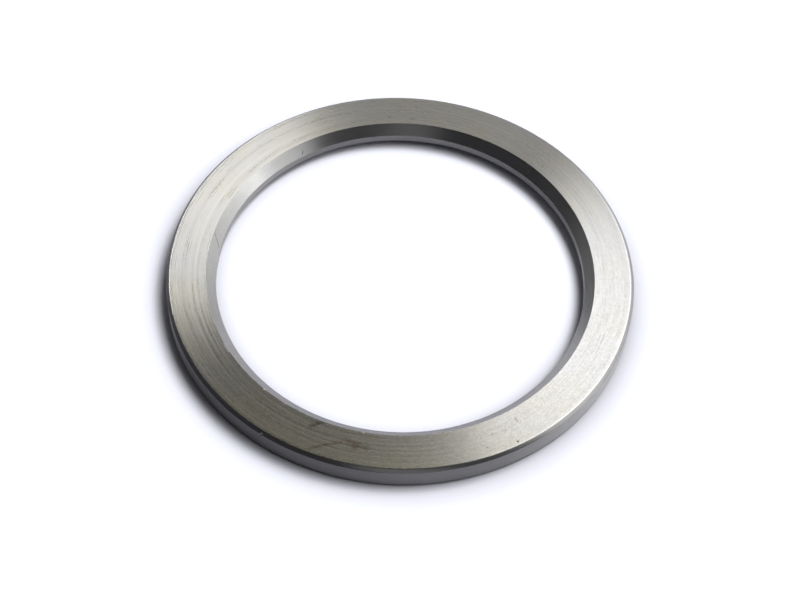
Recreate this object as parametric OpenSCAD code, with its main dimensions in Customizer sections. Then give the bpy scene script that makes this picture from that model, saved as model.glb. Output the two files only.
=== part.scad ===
// Turned spacer washer: a flat steel ring that fills a set gap between two parts on one axis.
// It lies on its lower face, with its axis on +Z and the origin in the middle of that face.

/* [Ring] */
// Outside diameter, at the rim
outer_d = 62; // [32:0.5:120]
// Radial width of the ring, from the land of the bore to the rim
ring_w = 6.5; // [3:0.1:14]
// Thickness from the lower face to the upper face
thickness = 3.5; // [2.6:0.1:12]

/* [Edges] */
// Leg of the 45 degree chamfer at each end of the bore
bore_chamfer = 1.25; // [0.1:0.05:1.7]
// Leg of the 45 degree chamfer round the rim on each face
rim_chamfer = 0.45; // [0.05:0.05:1.7]

/* [Hidden] */
// Bare steel, a little warm
steel = "#b4b2aa";
// Facets of the round outline
facets = 240;

outer_r = outer_d / 2;
bore_r = outer_r - ring_w;

// Half section to the right of the axis, anticlockwise from the lower end of the bore's land
module ring_section() {
    polygon([
        [bore_r, bore_chamfer],
        [bore_r + bore_chamfer, 0],
        [outer_r - rim_chamfer, 0],
        [outer_r, rim_chamfer],
        [outer_r, thickness - rim_chamfer],
        [outer_r - rim_chamfer, thickness],
        [bore_r + bore_chamfer, thickness],
        [bore_r, thickness - bore_chamfer],
    ]);
}

// The whole ring, turned in one piece
module spacer_washer() {
    color(steel)
        rotate_extrude($fn = facets)
            ring_section();
}

spacer_washer();
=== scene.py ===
import math
import bmesh
import bpy
import numpy as np
from mathutils import Matrix, Vector


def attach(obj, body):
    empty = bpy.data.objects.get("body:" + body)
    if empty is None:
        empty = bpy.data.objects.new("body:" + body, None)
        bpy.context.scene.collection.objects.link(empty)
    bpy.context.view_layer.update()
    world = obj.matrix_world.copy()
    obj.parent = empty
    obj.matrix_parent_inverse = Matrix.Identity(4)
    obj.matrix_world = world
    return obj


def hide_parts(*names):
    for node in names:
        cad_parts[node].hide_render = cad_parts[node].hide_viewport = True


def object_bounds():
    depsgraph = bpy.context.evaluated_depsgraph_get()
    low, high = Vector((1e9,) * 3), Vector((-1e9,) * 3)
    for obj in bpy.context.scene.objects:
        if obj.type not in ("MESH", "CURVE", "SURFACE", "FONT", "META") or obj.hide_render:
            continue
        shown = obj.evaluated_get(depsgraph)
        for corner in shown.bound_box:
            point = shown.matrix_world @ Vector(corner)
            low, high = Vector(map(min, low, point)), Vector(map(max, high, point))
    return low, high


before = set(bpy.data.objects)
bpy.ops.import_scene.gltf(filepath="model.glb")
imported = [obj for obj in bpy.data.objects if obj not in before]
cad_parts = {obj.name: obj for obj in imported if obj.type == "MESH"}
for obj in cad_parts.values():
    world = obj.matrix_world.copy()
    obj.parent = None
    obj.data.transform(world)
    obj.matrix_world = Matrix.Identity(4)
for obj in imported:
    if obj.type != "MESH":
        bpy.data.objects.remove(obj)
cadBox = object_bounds()
mm = 0.001
# everything below is in millimetres until it meets Blender; the rim stays just inside the solid's box
outerR = min(-cadBox[0].x, cadBox[1].x, -cadBox[0].y, cadBox[1].y) / mm
thick = cadBox[1].z / mm
bpy.ops.object.select_all(action="DESELECT")
scene = bpy.context.scene
scene.view_settings.view_transform = "Standard"
print("frame loaded: rim radius %.3f mm, thickness %.3f mm" % (outerR, thick))


# Camera: the photograph's own view, worked out from the ring's edges
cameraSet = {
    "lens": 79.38,                 # with the sensor below
    "sensor": 36.0,
    "distance": 233.83,            # from the middle of the upper face
    "elevation": 53.109,
    "roll": 2.564,
    "pictureWide": 800,
    "pictureHigh": 600,
    "middleX": 400.78,             # where the middle of the upper face falls, from the left and the top
    "middleY": 269.33,
}


def makeCamera(c):
    rise = math.radians(c["elevation"])
    back = Vector((0, -math.cos(rise), math.sin(rise)))
    right = Vector((1, 0, 0))
    up = back.cross(right)
    level = Matrix((right, up, back)).transposed()
    focal = c["lens"] / c["sensor"] * c["pictureWide"]
    acrossOff = (c["middleX"] - c["pictureWide"] / 2) / focal
    downOff = (c["middleY"] - c["pictureHigh"] / 2) / focal
    aim = Vector((acrossOff, -downOff, -1)).normalized()
    aimTurn = Vector((0, 0, -1)).rotation_difference(aim).to_matrix()
    turn = level @ Matrix.Rotation(math.radians(c["roll"]), 3, "Z") @ aimTurn.inverted()
    place = (Vector((0, 0, thick)) + back * c["distance"]) * mm
    bpy.ops.object.camera_add(location=place, rotation=turn.to_euler())
    camera = bpy.context.object
    camera.name = "pictureCamera"
    camera.data.lens = c["lens"]
    camera.data.sensor_width = c["sensor"]
    camera.data.clip_start = 0.005
    camera.data.clip_end = 50
    scene.camera = camera


makeCamera(cameraSet)
print("camera set")


# Small helpers for picking and for materials
def pickVerts(test):
    bm = bmesh.from_edit_mesh(bpy.context.object.data)
    for v in bm.verts:
        v.select = test(v.co / mm)
    bm.select_flush_mode()
    bmesh.update_edit_mesh(bpy.context.object.data)


def pickFaces(test):
    bm = bmesh.from_edit_mesh(bpy.context.object.data)
    for f in bm.faces:
        f.select = test(f)
    bm.select_flush_mode()
    bmesh.update_edit_mesh(bpy.context.object.data)


def takeUp(piece):
    bpy.ops.object.select_all(action="DESELECT")
    piece.select_set(True)
    bpy.context.view_layer.objects.active = piece


def onRing(angle, radius, height):
    a = math.radians(angle)
    return Vector((radius * math.cos(a), radius * math.sin(a), height))


# The ring: a section with chamfered corners, spun about the axis
ringSet = {
    "boreR": 24.5,
    "boreChamfer": 1.25,
    "rimChamfer": 0.45,
    "boreEdge": 0.005,             # how far the edges are broken at the bore
    "boreEdgeSteps": 1,
    "rimEdge": 0.09,               # and at the rim, where handling has rounded them
    "rimEdgeSteps": 4,
    "sharpFrom": 10.0,             # bends over this many degrees stay crisp
    "spinSteps": 600,
    "upperRows": 46,
    "lowerRows": 23,
    "boreChamferRows": 7,
    "landRows": 5,
    "wallRows": 9,
    "rimChamferRows": 2,
    "close": 1e-4,                 # points this near a line of the section count as on it
    "closeSloped": 2e-4,
    "startSlope": (-1, -1.6),      # the section's points are counted from this corner
}


def atHeight(z):
    return lambda co: abs(co.z - z) < ringSet["close"]


def cutEdge(test, rows):
    bpy.ops.mesh.select_all(action="DESELECT")
    pickVerts(test)
    bpy.ops.mesh.subdivide(number_cuts=rows)


def makeSection(s):
    boreR = s["boreR"]
    width = outerR - boreR
    middle = outerR - width / 2
    bpy.ops.mesh.primitive_plane_add(
        size=1, location=(middle * mm, 0, thick / 2 * mm), rotation=(math.pi / 2, 0, 0))
    ring = bpy.context.object
    ring.name = "spacer_washer_turned"
    ring.scale = (width * mm, thick * mm, 1)
    bpy.ops.object.transform_apply(location=True, rotation=True, scale=True)
    bpy.ops.object.mode_set(mode="EDIT")
    bpy.ops.mesh.select_mode(type="VERT")
    # chamfers, then the edges broken, first at the bore and then at the rim
    for end, side in (("bore", -1), ("rim", 1)):
        pickVerts(lambda co: side * (co.x - middle) > 0)
        bpy.ops.mesh.bevel(offset=s[end + "Chamfer"] * mm, affect="VERTICES")
        pickVerts(lambda co: side * (co.x - middle) > 0)
        bpy.ops.mesh.bevel(
            offset=s[end + "Edge"] * mm, affect="VERTICES", segments=s[end + "EdgeSteps"])
    # rows for the tool marks and the dents
    cutEdge(atHeight(thick), s["upperRows"])
    cutEdge(atHeight(0), s["lowerRows"])
    cutEdge(lambda co: abs(co.x - boreR) < s["close"], s["landRows"])
    cutEdge(lambda co: abs(co.x - outerR) < s["close"], s["wallRows"])
    boreLine = boreR + s["boreChamfer"]
    rimLine = outerR - s["rimChamfer"]
    for up in (False, True):
        high = lambda co: thick - co.z if up else co.z
        cutEdge(lambda co: abs(co.x + high(co) - boreLine) < s["closeSloped"] and high(co) < thick / 2,
                s["boreChamferRows"])
        cutEdge(lambda co: abs(co.x - high(co) - rimLine) < s["closeSloped"] and high(co) < thick / 2,
                s["rimChamferRows"])
    bpy.ops.mesh.select_all(action="SELECT")
    bpy.ops.mesh.delete(type="ONLY_FACE")
    bpy.ops.object.mode_set(mode="OBJECT")
    return ring


def sectionLine(ring):
    # the section's points in order round it, clockwise from the inner lower corner, with their distance
    pts = np.array([(v.co.x / mm, v.co.z / mm) for v in ring.data.vertices])
    middle = np.array(((outerR + ringSet["boreR"]) / 2, thick / 2))
    turn = np.arctan2(pts[:, 1] - middle[1], pts[:, 0] - middle[0])
    start = math.atan2(*ringSet["startSlope"])
    order = np.argsort((start - turn) % (2 * math.pi))
    pts = pts[order]
    steps = np.linalg.norm(np.roll(pts, -1, axis=0) - pts, axis=1)
    return pts, np.concatenate(([0], np.cumsum(steps)))


def spinRing(s):
    bpy.ops.object.mode_set(mode="EDIT")
    bpy.ops.mesh.select_all(action="SELECT")
    bpy.ops.mesh.spin(steps=s["spinSteps"], angle=2 * math.pi, center=(0, 0, 0), axis=(0, 0, 1))
    bpy.ops.mesh.select_all(action="SELECT")
    bpy.ops.mesh.remove_doubles(threshold=1e-6)
    bpy.ops.mesh.normals_make_consistent(inside=False)
    bpy.ops.object.mode_set(mode="OBJECT")
    bpy.ops.object.shade_smooth_by_angle(angle=math.radians(s["sharpFrom"]))


def ringRows(ring):
    # where each vertex lies: its place, its point of the section and its angle
    co = np.empty(len(ring.data.vertices) * 3, np.float32)
    ring.data.vertices.foreach_get("co", co)
    co = co.reshape(-1, 3).astype(float) / mm
    radius = np.hypot(co[:, 0], co[:, 1])
    row = np.empty(len(co), int)
    chunk = 4000
    for first in range(0, len(co), chunk):
        part = slice(first, first + chunk)
        gapAcross = radius[part, None] - sectionPoints[:, 0]
        gapUp = co[part, 2, None] - sectionPoints[:, 1]
        row[part] = (gapAcross ** 2 + gapUp ** 2).argmin(1)
    return co, row, np.degrees(np.arctan2(co[:, 1], co[:, 0])) % 360


ring = makeSection(ringSet)
sectionPoints, sectionWay = sectionLine(ring)
spinRing(ringSet)
print("ring spun: %d faces" % len(ring.data.polygons))


# The unrolled map: across the section one way, round the ring the other, in three strips
mapSet = {
    "strips": 3,
    "marginAcross": 0.02,
    "marginRound": 0.006,
}


def unrollRing(ring, m):
    mesh = ring.data
    co, rowOf, angle = ringRows(ring)
    layer = mesh.uv_layers.new(name="OFBake")
    uv = np.empty((len(mesh.loops), 2), np.float32)
    stripTurn = 360 / m["strips"]
    whole = sectionWay[-1]
    for face in mesh.polygons:
        loops = list(face.loop_indices)
        verts = list(face.vertices)
        middleTurn = math.degrees(math.atan2(face.center.y, face.center.x)) % 360
        strip = int(middleTurn // stripTurn)
        row = rowOf[verts]
        wraps = row.max() - row.min() > len(sectionPoints) / 2
        for loop, v in zip(loops, verts):
            way = sectionWay[rowOf[v]]
            if wraps and rowOf[v] == 0:
                way = whole
            turn = (angle[v] - strip * stripTurn + 180) % 360 - 180
            across = m["marginAcross"] + way / whole * (1 - 2 * m["marginAcross"])
            along = m["marginRound"] + turn / stripTurn * (1 - 2 * m["marginRound"])
            uv[loop] = ((strip + across) / m["strips"], along)
    layer.data.foreach_set("uv", uv.ravel())


unrollRing(ring, mapSet)
print("ring unrolled")


# Tool marks: rows of both faces a few microns deep, in arcs that come and go round the ring
toolSet = {
    "seed": 11,
    "deep": 0.018,                 # deepest mark
    "usual": 0.5,                  # share of that depth that all rows have, and how far they stray from it
    "stray": 0.22,
    "run": 0.35,                   # how much of a row's depth the next one keeps
    "arcs": 14.0,                  # arcs in one turn, about
    "steady": 0.5,                 # share of a mark that goes all the way round
    "inner": 1.25,                 # marks near the bore against those near the rim
    "outer": 0.55,
    "strongAt": 175.0,             # the side where the insert dug in most
    "strongBy": 0.55,
    "easeRows": 6,                 # rows over which the marks begin at each edge of a face
}


def toolMarks(ring, t):
    rng = np.random.default_rng(t["seed"])
    steps = ringSet["spinSteps"]
    co, row, angle = ringRows(ring)
    step = np.round(angle / 360 * steps).astype(int) % steps
    waves = np.arange(steps // 2 + 1)
    fall = np.exp(-(waves / t["arcs"]) ** 2)
    fall[0] = 0
    fromStrong = 2 * math.pi * np.arange(steps) / steps - math.radians(t["strongAt"])
    strong = 1 + t["strongBy"] * np.cos(fromStrong)
    for faceZ, inward in ((thick, -1), (0, 1)):
        rows = [i for i, p in enumerate(sectionPoints) if abs(p[1] - faceZ) < ringSet["close"]]
        rows.sort(key=lambda i: sectionPoints[i][0])
        run = np.zeros(steps)
        for count, i in enumerate(rows[2:-2]):
            wave = fall * (rng.normal(size=len(waves)) + 1j * rng.normal(size=len(waves)))
            arc = np.fft.irfft(wave, steps)
            fresh = t["steady"] * rng.normal() + (1 - t["steady"]) * arc / arc.std()
            run = t["run"] * run + fresh
            share = t["inner"] + (t["outer"] - t["inner"]) * count / len(rows)
            ease = min(1, max(0, min(count, len(rows) - 5 - count) - 1) / t["easeRows"])
            depth = ease * t["deep"] * np.clip(t["usual"] + t["stray"] * share * strong * run, 0, 1)
            here = row == i
            co[here, 2] += inward * depth[step[here]]
    ring.data.vertices.foreach_set("co", (co * mm).astype(np.float32).ravel())
    ring.data.update()


toolMarks(ring, toolSet)
print("tool marks cut")


# Wear: places as angle, radius and height, sizes all in millimetres
wearSet = {
    "cuts": 4,                     # finer mesh at a mark
    "grimy": 0.9,
    "scratchGrime": 0.45,
    "around": 0.34,                # and this far past its edge
    "pressed": 0.16,               # shares of the width: half of what is pushed,
    "fades": 0.5,                  # how far the push fades, and how far the grime goes
    "pitGrimeWide": 0.36,
    "scratchGrimeWide": 0.4,
    "edgeDents": [                 # angle, radius, height, inward, downward, width
        (238.0, 30.96, 3.08, 0.17, 0.02, 0.46),
        (230.3, 25.74, 3.50, -0.02, 0.035, 0.28),
        (237.8, 25.78, 3.50, -0.01, 0.025, 0.22),
        (262.0, 25.80, 3.50, -0.01, 0.025, 0.22),
        (278.8, 25.70, 3.48, -0.01, 0.025, 0.24),
        (282.0, 25.72, 3.48, -0.01, 0.025, 0.22),
        (269.2, 30.52, 3.48, 0.01, 0.020, 0.24),
        (271.1, 30.53, 3.48, 0.01, 0.020, 0.26),
        (273.1, 30.52, 3.48, 0.01, 0.020, 0.24),
        (259.4, 30.53, 3.48, 0.01, 0.020, 0.22),
        (246.7, 30.53, 3.48, 0.01, 0.020, 0.22),
    ],
    "pits": [                      # angle, radius, depth, width
        (300.8, 30.09, 0.02, 0.30),
        (45.2, 26.79, 0.015, 0.26),
        (51.1, 26.98, 0.012, 0.20),
        (95.6, 26.94, 0.015, 0.28),
        (88.5, 26.84, 0.015, 0.26),
        (87.9, 29.05, 0.015, 0.24),
        (299.8, 28.02, 0.012, 0.20),
        (296.1, 27.83, 0.012, 0.20),
        (293.3, 29.29, 0.012, 0.20),
    ],
    "scratches": [                 # angle, radius, height at both ends, depth, width
        (169.4, 25.50, 3.25, 172.6, 24.62, 2.37, 0.020, 0.14),
        (304.0, 26.95, 3.50, 303.9, 27.70, 3.50, 0.015, 0.08),
        (125.2, 25.05, 2.80, 125.9, 24.70, 2.45, 0.020, 0.14),
    ],
}


def offLine(a, b):
    # how far a point lies from the line between two places
    along = b - a
    span = max(along.length_squared, 1e-9)
    middle = (a + b) / 2
    near = along.length / 2 + 1

    def away(co):
        if abs(co.x - middle.x) > near or abs(co.y - middle.y) > near:
            return 99.0
        share = min(1.0, max(0.0, (co - a).dot(along) / span))
        return (co - a - along * share).length
    return away


def pressLine(a, b, push, wide, cuts):
    away = offLine(a, b)
    pickVerts(lambda co: away(co) < wide / 2 + wearSet["around"])
    bpy.ops.mesh.subdivide(number_cuts=cuts)
    pickVerts(lambda co: away(co) < wide * wearSet["pressed"])
    bpy.ops.transform.translate(
        value=push * mm, use_proportional_edit=True, proportional_edit_falloff="SMOOTH",
        proportional_size=wide * wearSet["fades"] * mm)
    return away


def wearRing(ring, w):
    takeUp(ring)
    ring.data.attributes.new("grime", "FLOAT", "POINT")
    ring.data.attributes.active = ring.data.attributes["grime"]
    bpy.ops.object.mode_set(mode="EDIT")
    bpy.ops.mesh.select_mode(type="VERT")
    down = Vector((0, 0, -1))
    for angle, radius, height, inward, downward, wide in w["edgeDents"]:
        spot = onRing(angle, radius, height)
        pressLine(spot, spot, onRing(angle, -inward, 0) + down * downward, wide, w["cuts"])
    for angle, radius, deep, wide in w["pits"]:
        spot = onRing(angle, radius, thick)
        away = pressLine(spot, spot, down * deep, wide, w["cuts"])
        pickVerts(lambda co: away(co) < wide * w["pitGrimeWide"])
        bpy.ops.mesh.attribute_set(value_float=w["grimy"])
    for angleA, radiusA, heightA, angleB, radiusB, heightB, deep, wide in w["scratches"]:
        a = onRing(angleA, radiusA, heightA)
        b = onRing(angleB, radiusB, heightB)
        face = down if heightA >= thick else (onRing(angleA, 1, 0) + down).normalized()
        away = pressLine(a, b, face * deep, wide, w["cuts"] - 1)
        pickVerts(lambda co: away(co) < wide * w["scratchGrimeWide"])
        bpy.ops.mesh.attribute_set(value_float=w["scratchGrime"])
    bpy.ops.object.mode_set(mode="OBJECT")


wearRing(ring, wearSet)
print("wear done: %d faces" % len(ring.data.polygons))


# Steel finishes
def node(tree, kind, **settings):
    made = tree.nodes.new(kind)
    for name, value in settings.items():
        setattr(made, name, value)
    return made


def feed(tree, target, socket, source):
    if isinstance(source, (int, float, tuple)):
        target.inputs[socket].default_value = source
    else:
        tree.links.new(source, target.inputs[socket])


def sums(tree, operation, a, b=None, c=None):
    made = node(tree, "ShaderNodeMath", operation=operation)
    for i, source in enumerate((a, b, c)):
        if source is not None:
            feed(tree, made, i, source)
    return made.outputs[0]


def vectors(tree, operation, a, b=None, scale=None):
    made = node(tree, "ShaderNodeVectorMath", operation=operation)
    feed(tree, made, 0, a)
    if b is not None:
        feed(tree, made, 1, b)
    if scale is not None:
        feed(tree, made, "Scale", scale)
    return made.outputs["Value"] if operation in ("DOT_PRODUCT", "LENGTH") else made.outputs["Vector"]


def ramp(tree, source, fromLow, fromHigh, toLow, toHigh):
    made = node(tree, "ShaderNodeMapRange")
    feed(tree, made, "Value", source)
    made.inputs["From Min"].default_value = fromLow
    made.inputs["From Max"].default_value = fromHigh
    made.inputs["To Min"].default_value = toLow
    made.inputs["To Max"].default_value = toHigh
    return made.outputs[0]


noiseSpan = (0.3, 0.7)             # where nearly all of a noise lies


def swing(tree, noise, low, high):
    return ramp(tree, noise, *noiseSpan, low, high)


def facing(tree, heading, angle):
    # 1 on the side of the ring at this angle, -1 on the other
    return vectors(tree, "DOT_PRODUCT", heading, tuple(onRing(angle, 1, 0)))


def turnedPlace(tree):
    # radius, height and the direction round the axis, all from the ring's own coordinates
    place = node(tree, "ShaderNodeTexCoord").outputs["Object"]
    split = node(tree, "ShaderNodeSeparateXYZ")
    feed(tree, split, 0, place)
    flat = node(tree, "ShaderNodeCombineXYZ")
    feed(tree, flat, "X", split.outputs["X"])
    feed(tree, flat, "Y", split.outputs["Y"])
    radius = vectors(tree, "LENGTH", flat.outputs[0])
    heading = vectors(tree, "NORMALIZE", flat.outputs[0])
    return place, radius, split.outputs["Z"], heading


def streaks(tree, heading, across, roundScale, acrossScale, detail, offset=0.0):
    # noise drawn out along the turning: fine across it, long round it
    split = node(tree, "ShaderNodeSeparateXYZ")
    feed(tree, split, 0, vectors(tree, "SCALE", heading, scale=roundScale))
    both = node(tree, "ShaderNodeCombineXYZ")
    feed(tree, both, "X", split.outputs["X"])
    feed(tree, both, "Y", split.outputs["Y"])
    feed(tree, both, "Z", sums(tree, "MULTIPLY_ADD", across, acrossScale, offset))
    noise = node(tree, "ShaderNodeTexNoise")
    feed(tree, noise, "Vector", both.outputs[0])
    noise.inputs["Scale"].default_value = 1.0
    noise.inputs["Detail"].default_value = detail
    noise.inputs["Roughness"].default_value = 0.6
    return noise.outputs["Fac"]


def cloud(tree, place, scale, detail):
    noise = node(tree, "ShaderNodeTexNoise")
    feed(tree, noise, "Vector", place)
    noise.inputs["Scale"].default_value = scale
    noise.inputs["Detail"].default_value = detail
    return noise.outputs["Fac"]


def steelShader(name, look):
    material = bpy.data.materials.new(name)
    material.use_nodes = True
    tree = material.node_tree
    shader = tree.nodes["Principled BSDF"]
    shader.inputs["Metallic"].default_value = 1.0
    shader.inputs["Anisotropic"].default_value = look["grain"]
    tangent = node(tree, "ShaderNodeTangent", direction_type="UV_MAP", uv_map="OFBake")
    feed(tree, shader, "Tangent", tangent.outputs[0])
    return material, tree, shader


def roughen(tree, shader, height, deep):
    relief = node(tree, "ShaderNodeBump")
    relief.inputs["Strength"].default_value = 1.0
    relief.inputs["Distance"].default_value = deep
    feed(tree, relief, "Height", height)
    feed(tree, shader, "Normal", relief.outputs[0])


faceLook = {
    "from": 25.75,                 # its inner and outer edge
    "to": 30.54,
    "steel": (0.424, 0.420, 0.414),
    "warmTint": (0.438, 0.414, 0.335),  # a warm tint over the bare steel
    "tintAllOver": (-0.15, 0.25),     # all over, in blotches,
    "tintBlotch": 160.0,
    "tintPatches": [               # and in patches, strongest on the near and far sides: angle, strength, shares at bore and rim, sharpness
        (248.0, 0.92, 0.80, 1.15, 2.0),
        (88.0, 0.42, 1.25, 0.75, 1.0),
    ],
    "rough": 0.285,
    "roughSwing": 0.02,            # lines and grain each change it this far, and grime adds to it
    "roughGrime": 0.4,
    "grain": 0.96,                 # how much longer the gloss runs across the turning than along it
    "lineRadial": 3600.0,          # tool lines per metre of radius
    "lineRound": 0.5,
    "grainRadial": 3600.0,
    "grainRound": 8.0,
    "speckle": 3600.0,
    "rag": 2200.0,                 # raggedness of the edges of the smears and of the painted highlight
    "lineTone": (0.03, 0.13),      # how far lines, grain and speckle change the colour,
    "lineAt": 190.0,               # each at least and at most, with the side that shows most of it
    "lineSpan": (-0.4, 0.6),       # and where it begins and is full, as cosines from that side
    "grainTone": (0.012, 0.085),
    "grainAt": 40.0,
    "grainSpan": (0.0, 0.7),
    "speckleTone": (0.02, 0.11),
    "speckleAt": 285.0,
    "speckleSpan": (-0.4, 0.6),
    "lineRelief": 0.15,            # shares of the relief below; the grain's goes with its tone
    "grainRelief": 0.6,
    "relief": 0.00002,
    "grime": (0.05, 0.045, 0.04),
    "polish": 0.05,                # how much lighter the face is along its edges
    "polishWide": 0.35,
}
# smears on the upper face, and one painted highlight along the bore edge: angle and radius at both ends,
# half width, ragged edge, colour, strength
smearAndHighlightSet = [
    (247.7, 26.95, 248.9, 26.20, 0.38, 0.70, (0.17, 0.16, 0.13), 0.80),
    (248.9, 26.20, 250.4, 25.85, 0.30, 0.60, (0.17, 0.16, 0.13), 0.65),
    (250.1, 29.95, 253.4, 28.70, 0.26, 0.40, (0.24, 0.18, 0.12), 0.70),
    (253.4, 28.70, 256.6, 27.85, 0.28, 0.40, (0.24, 0.18, 0.12), 0.75),
    (258.3, 27.50, 260.6, 27.80, 0.70, 1.10, (0.22, 0.165, 0.12), 0.65),
    (260.6, 27.80, 263.2, 28.00, 0.62, 1.10, (0.22, 0.18, 0.13), 0.60),
    (304.0, 26.95, 303.9, 27.70, 0.055, 0.03, (0.09, 0.085, 0.08), 0.85),
    # painted highlight: a near-white streak along the bore edge
    (210.6, 25.82, 213.6, 25.82, 0.14, 0.08, (0.85, 0.85, 0.82), 1.00),
]


def blendTo(tree, share, under, over):
    mix = node(tree, "ShaderNodeMix", data_type="RGBA")
    feed(tree, mix, 0, share)
    feed(tree, mix, 6, under + (1.0,) if isinstance(under, tuple) else under)
    feed(tree, mix, 7, over + (1.0,) if isinstance(over, tuple) else over)
    return mix.outputs[2]


def smearAndHighlightMask(tree, place, rag, row):
    # 1 on the line between two places, fading to 0 at a ragged edge
    angleA, radiusA, angleB, radiusB, wide, ragged = row[:6]
    a = onRing(angleA, radiusA, thick) * mm
    along = onRing(angleB, radiusB, thick) * mm - a
    fromA = vectors(tree, "SUBTRACT", place, tuple(a))
    way = vectors(tree, "DOT_PRODUCT", fromA, tuple(along))
    share = sums(tree, "DIVIDE", way, along.length_squared)
    held = ramp(tree, share, 0, 1, 0, 1)
    rest = vectors(tree, "SUBTRACT", fromA, vectors(tree, "SCALE", tuple(along), scale=held))
    away = sums(tree, "MULTIPLY_ADD", rag, ragged * mm, vectors(tree, "LENGTH", rest))
    return ramp(tree, away, wide * mm, 0, 0, row[7])


def faceSteel(look):
    material, tree, shader = steelShader("turnedFaceSteel", look)
    place, radius, height, heading = turnedPlace(tree)
    lines = streaks(tree, heading, radius, look["lineRound"], look["lineRadial"], 2.0)
    grain = streaks(tree, heading, radius, look["grainRound"], look["grainRadial"], 2.0, 5.0)
    speckle = cloud(tree, place, look["speckle"], 2.0)
    blotch = cloud(tree, place, look["tintBlotch"], 2.0)
    # bare steel under a warm tint that varies round the ring
    inner = look["from"] * mm
    outer = look["to"] * mm
    warmTint = swing(tree, blotch, *look["tintAllOver"])
    for angle, most, atBore, atRim, power in look["tintPatches"]:
        side = ramp(tree, facing(tree, heading, angle), 0, 1, 0, 1)
        patch = sums(tree, "MULTIPLY", sums(tree, "POWER", side, power), most)
        warmTint = sums(tree, "MULTIPLY_ADD", patch, ramp(tree, radius, inner, outer, atBore, atRim), warmTint)
    color = blendTo(tree, warmTint, look["steel"], look["warmTint"])
    # lighter along both edges, where it is handled most
    wide = look["polishWide"] * mm
    atBore = ramp(tree, radius, inner, inner + wide, look["polish"], 0)
    tone = sums(tree, "ADD", atBore, ramp(tree, radius, outer - wide, outer, 0, look["polish"]))
    # tool lines show most on the far left, grain on the far side and speckle on the near side
    for name, source in (("line", lines), ("grain", grain), ("speckle", speckle)):
        side = facing(tree, heading, look[name + "At"])
        share = ramp(tree, side, *look[name + "Span"], *look[name + "Tone"])
        tone = sums(tree, "MULTIPLY_ADD", swing(tree, source, -1, 1), share, tone)
        if name == "grain":
            grainShare = sums(tree, "MULTIPLY", share, look["grainRelief"])
            grainHeight = sums(tree, "MULTIPLY", grain, grainShare)
    color = vectors(tree, "SCALE", color, scale=sums(tree, "ADD", tone, 1.0))
    rag = sums(tree, "SUBTRACT", cloud(tree, place, look["rag"], 3.0), 0.5)
    # smears, and one painted highlight along the bore edge
    for row in smearAndHighlightSet:
        color = blendTo(tree, smearAndHighlightMask(tree, place, rag, row), color, row[6])
    grime = node(tree, "ShaderNodeAttribute", attribute_name="grime").outputs["Fac"]
    color = blendTo(tree, grime, color, look["grime"])
    feed(tree, shader, "Base Color", color)
    feed(tree, shader, "Metallic", sums(tree, "SUBTRACT", 1.0, grime))
    rough = sums(tree, "MULTIPLY_ADD", grime, look["roughGrime"], look["rough"])
    for source in (lines, grain):
        rough = sums(tree, "ADD", rough, swing(tree, source, -look["roughSwing"], look["roughSwing"]))
    feed(tree, shader, "Roughness", rough)
    roughen(tree, shader, sums(tree, "MULTIPLY_ADD", lines, look["lineRelief"], grainHeight), look["relief"])
    return material


chamferLook = {
    "color": (0.455, 0.453, 0.447),
    "rough": 0.26,
    "grain": 0.65,
    "lineAcross": 11000.0,
    "lineRound": 9.0,
    "relief": 0.000002,
}
wallLook = {
    "color": (0.46, 0.458, 0.456),
    "rough": 0.376,
    "grain": 0.97,
    "lineAcross": 9000.0,
    "lineRound": 9.0,
    "relief": 0.000002,
}


edgeTone = 0.03                    # how far lines and blotches each change the colour of both
edgeRough = 0.01
edgeBlotch = 300.0


def edgeSteel(name, look):
    material, tree, shader = steelShader(name, look)
    place, radius, height, heading = turnedPlace(tree)
    lines = streaks(tree, heading, height, look["lineRound"], look["lineAcross"], 2.0)
    blotch = swing(tree, cloud(tree, place, edgeBlotch, 2.0), -edgeTone, edgeTone)
    tone = sums(tree, "ADD", swing(tree, lines, 1 - edgeTone, 1 + edgeTone), blotch)
    grime = node(tree, "ShaderNodeAttribute", attribute_name="grime").outputs["Fac"]
    tone = sums(tree, "MULTIPLY", tone, sums(tree, "SUBTRACT", 1.0, grime))
    feed(tree, shader, "Base Color", vectors(tree, "SCALE", look["color"], scale=tone))
    rough = swing(tree, lines, look["rough"] - edgeRough, look["rough"] + edgeRough)
    feed(tree, shader, "Roughness", rough)
    roughen(tree, shader, lines, look["relief"])
    return material


# how far a face points up or down: the two flat faces, the chamfers, then the rim wall and the land
facingUp = ((0.93, 1.1), (0.38, 0.93), (-0.1, 0.38))


def dressRing(ring):
    takeUp(ring)
    for material in (faceSteel(faceLook), edgeSteel("turnedChamferSteel", chamferLook),
                     edgeSteel("turnedWallSteel", wallLook)):
        ring.data.materials.append(material)
    bpy.ops.object.mode_set(mode="EDIT")
    bpy.ops.mesh.select_mode(type="FACE")
    for slot, (low, high) in enumerate(facingUp):
        pickFaces(lambda f: low <= abs(f.normal.z) < high)
        ring.active_material_index = slot
        bpy.ops.object.material_slot_assign()
    bpy.ops.object.mode_set(mode="OBJECT")


dressRing(ring)
print("steel on the ring")


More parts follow.
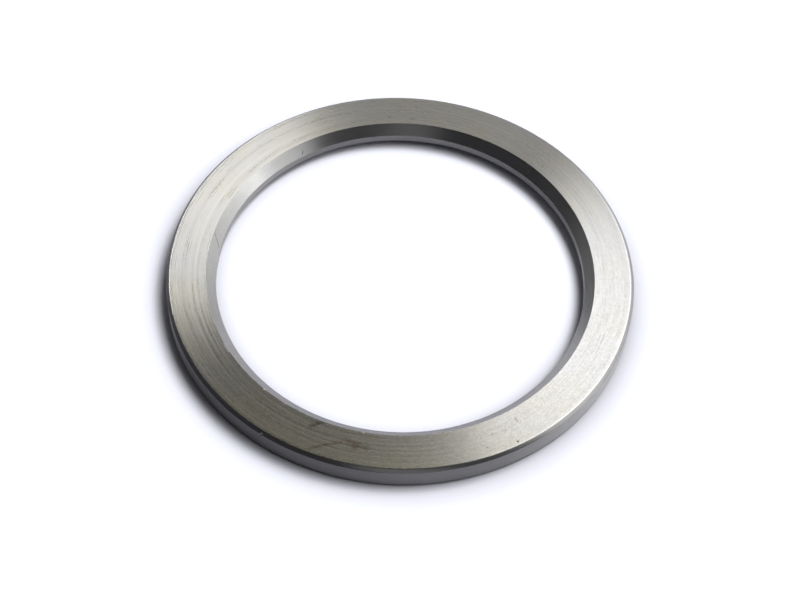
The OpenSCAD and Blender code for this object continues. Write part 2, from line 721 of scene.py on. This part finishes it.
# Floor and light
floorSet = {
    "size": 8.0,
    "shown": (1.05, 1.06, 1.15),   # paper a little over, so that it is white in the picture
    "contact": 6.0,                # how far the ring keeps light off the paper,
    "contactInside": (0.50, 1.00),  # and how much of it: inside the bore, on the far and the near side,
    "contactTurn": (-0.2, 0.7),
    "contactOutside": 1.05,        # and outside the rim
    "contactMost": 0.6,
    # painted light and shade on the paper as the steel shows it: lightest in the middle of the bore, darker
    # close to the ring, dark on the left and bright on the right further off
    "middle": (1.08, 1.08, 1.12),  # the same paper as the steel shows it: in the middle of the bore,
    "near": (0.47, 0.47, 0.54),    # close to the ring inside it,
    "outDark": (0.30, 0.30, 0.34),  # close to it outside, on the left and on the right,
    "outBright": (0.57, 0.57, 0.64),
    "outAngle": 330.0,
    "outTurn": (-0.6, 0.5),        # the turns are cosines between which one side goes over to the other
    "nearFrom": (14.5, 16.5),
    "farDark": (0.05, 0.05, 0.06),  # and further off, dark on the left and bright on the right
    "farBright": (0.72, 0.72, 0.78),
    "farAngle": 45.0,
    "farTurn": (-0.75, 0.75),
    "shadeAngle": 5.0,             # the steel shows the contact shadow least on this side of the rim,
    "shadePower": (3.0, 0.4),      # and on the other side of the bore
    "shadeTurn": (-0.7, 0.7),
    "farFrom": (33.0, 50.0),
    "lit": (0.78, 0.78, 0.84),     # and as it throws light back
    "gap": 0.01,
}
worldSet = {
    "color": (0.033, 0.033, 0.036),
}
lampDistance = 2.6
lightLevel = 1.19
# azimuth from +X towards +Y, wide and high as shares of the distance, glow as white paper counts 1,
# fade as the share of the half width over which a lamp falls off to its edge
lampSet = [
    {"name": "sideFill", "azimuth": 18, "elevation": 28, "roll": 5,
     "wide": 2.12, "high": 1.40, "glow": 0.73, "fade": 0.2},
    {"name": "stripBehind", "azimuth": 123, "elevation": 34, "roll": 23,
     "wide": 0.82, "high": 0.18, "glow": 8.48, "fade": 0.2},
    {"name": "keyWindow", "azimuth": 31, "elevation": 51, "roll": 80,
     "wide": 1.02, "high": 1.30, "glow": 2.04, "fade": 0.2},
    {"name": "frontGlow", "azimuth": 287, "elevation": 10, "roll": -56,
     "wide": 1.98, "high": 0.52, "glow": 0.17, "fade": 0.2},
    {"name": "backGlow", "azimuth": 89, "elevation": 32, "roll": -23,
     "wide": 0.38, "high": 0.48, "glow": 0.69, "fade": 0.2},
    {"name": "paperLamp", "azimuth": 27, "elevation": 65, "roll": 0,
     "wide": 0.58, "high": 0.58, "glow": 10.51, "fade": 0.35, "paper": True},
    {"name": "paperSide", "azimuth": 335, "elevation": 56, "roll": 0,
     "wide": 0.60, "high": 0.60, "glow": 3.71, "fade": 0.50, "paper": True},
    {"name": "paperSky", "azimuth": 27, "elevation": 89, "roll": 0,
     "wide": 3.00, "high": 3.00, "glow": 0.07, "fade": 0.70, "paper": True},
]


def layFloor(f):
    bpy.ops.mesh.primitive_plane_add(size=f["size"], location=(0, 0, -f["gap"] * mm))
    floor = bpy.context.object
    floor.name = "paperFloor"
    material = bpy.data.materials.new("floorPaper")
    material.use_nodes = True
    tree = material.node_tree
    tree.nodes.remove(tree.nodes["Principled BSDF"])
    ray = node(tree, "ShaderNodeLightPath")
    mirrored = sums(tree, "MAXIMUM", ray.outputs["Is Glossy Ray"], ray.outputs["Is Transmission Ray"])
    place, radius, height, heading = turnedPlace(tree)
    # as the steel shows it, from the middle of the bore outwards, with painted light and shade: lightest in
    # the middle, dark on the left and bright on the right
    farSide = facing(tree, heading, f["farAngle"])
    far = blendTo(tree, ramp(tree, farSide, *f["farTurn"], 0, 1), f["farDark"], f["farBright"])
    outSide = facing(tree, heading, f["outAngle"])
    nearOut = blendTo(tree, ramp(tree, outSide, *f["outTurn"], 0, 1), f["outDark"], f["outBright"])
    outside = ramp(tree, radius, ringSet["boreR"] * mm, outerR * mm, 0, 1)
    towardsRing = ramp(tree, radius, f["nearFrom"][0] * mm, f["nearFrom"][1] * mm, 0, 1)
    farOff = ramp(tree, radius, f["farFrom"][0] * mm, f["farFrom"][1] * mm, 0, 1)
    seen = blendTo(tree, towardsRing, f["middle"], f["near"])
    seen = blendTo(tree, outside, seen, nearOut)
    seen = blendTo(tree, farOff, seen, far)
    shade = node(tree, "ShaderNodeAmbientOcclusion", samples=8)
    feed(tree, shade, "Distance", f["contact"] * mm)
    openSky = shade.outputs["AO"]
    # painted contact shadow in what the steel sees, from ambient occlusion, deeper on the sides away from
    # the light
    litSide = facing(tree, heading, f["shadeAngle"])
    litSide = sums(tree, "MULTIPLY", litSide, ramp(tree, outside, 0, 1, -1, 1))
    power = ramp(tree, litSide, *f["shadeTurn"], *f["shadePower"])
    seen = vectors(tree, "SCALE", seen, scale=sums(tree, "POWER", openSky, power))
    # as the camera sees it, with the contact shadow
    nearSide = vectors(tree, "DOT_PRODUCT", heading, (0.0, -1.0, 0.0))
    inside = ramp(tree, nearSide, *f["contactTurn"], *f["contactInside"])
    more = sums(tree, "SUBTRACT", f["contactOutside"], inside)
    share = sums(tree, "MULTIPLY_ADD", outside, more, inside)
    closed = sums(tree, "MINIMUM", sums(tree, "SUBTRACT", 1.0, openSky), f["contactMost"])
    kept = sums(tree, "MULTIPLY", closed, share)
    shown = vectors(tree, "SCALE", f["shown"], scale=sums(tree, "SUBTRACT", 1.0, kept))
    tone = blendTo(tree, mirrored, f["lit"], seen)
    tone = blendTo(tree, ray.outputs["Is Camera Ray"], tone, shown)
    paper = node(tree, "ShaderNodeBsdfDiffuse")
    feed(tree, paper, "Color", tone)
    feed(tree, tree.nodes["Material Output"], "Surface", paper.outputs[0])
    floor.data.materials.append(material)
    return floor


def fadeLamp(lamp, fadeShare):
    # brightest in the middle, as a diffuser is, and fading to nothing at the edges
    lamp.data.use_nodes = True
    tree = lamp.data.node_tree
    spot = node(tree, "ShaderNodeNewGeometry").outputs["Parametric"]
    split = node(tree, "ShaderNodeSeparateXYZ")
    feed(tree, split, 0, spot)
    shares = []
    for side in ("X", "Y"):
        fromMiddle = sums(tree, "ABSOLUTE", sums(tree, "MULTIPLY_ADD", split.outputs[side], 2.0, -1.0))
        fade = node(tree, "ShaderNodeMapRange", interpolation_type="SMOOTHSTEP")
        feed(tree, fade, "Value", fromMiddle)
        fade.inputs["From Min"].default_value = 1.0
        fade.inputs["From Max"].default_value = 1.0 - fadeShare
        shares.append(fade.outputs[0])
    feed(tree, tree.nodes["Emission"], "Strength", sums(tree, "MULTIPLY", shares[0], shares[1]))


def hangLamp(l):
    a = math.radians(l["azimuth"])
    e = math.radians(l["elevation"])
    heading = Vector((math.cos(e) * math.cos(a), math.cos(e) * math.sin(a), math.sin(e)))
    across = Vector((0, 0, 1)).cross(heading).normalized()
    upward = heading.cross(across)
    level = Matrix((across, upward, heading)).transposed()
    turn = level @ Matrix.Rotation(math.radians(l["roll"]), 3, "Z")
    bpy.ops.object.light_add(type="AREA", location=heading * lampDistance, rotation=turn.to_euler())
    lamp = bpy.context.object
    lamp.name = l["name"]
    lamp.data.shape = "RECTANGLE"
    lamp.data.size = l["wide"] * lampDistance
    lamp.data.size_y = l["high"] * lampDistance
    lamp.data.energy = math.pi * l["glow"] * lightLevel * lamp.data.size * lamp.data.size_y
    lamp.visible_camera = False
    fadeLamp(lamp, l["fade"])
    # flags: the paper has lamps of its own, and the others are kept off it
    bpy.ops.object.select_all(action="DESELECT")
    floor.select_set(True)
    bpy.context.view_layer.objects.active = lamp
    bpy.ops.object.light_linking_receiver_collection_new()
    bpy.ops.object.light_linking_receivers_link(link_state="INCLUDE" if l.get("paper") else "EXCLUDE")


floor = layFloor(floorSet)
world = bpy.data.worlds.new("dimRoom")
world.use_nodes = True
world.node_tree.nodes["Background"].inputs["Color"].default_value = worldSet["color"] + (1.0,)
scene.world = world
for lampRow in lampSet:
    hangLamp(lampRow)
print("floor, room and lamps placed")


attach(ring, "root")
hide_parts("spacer_washer")
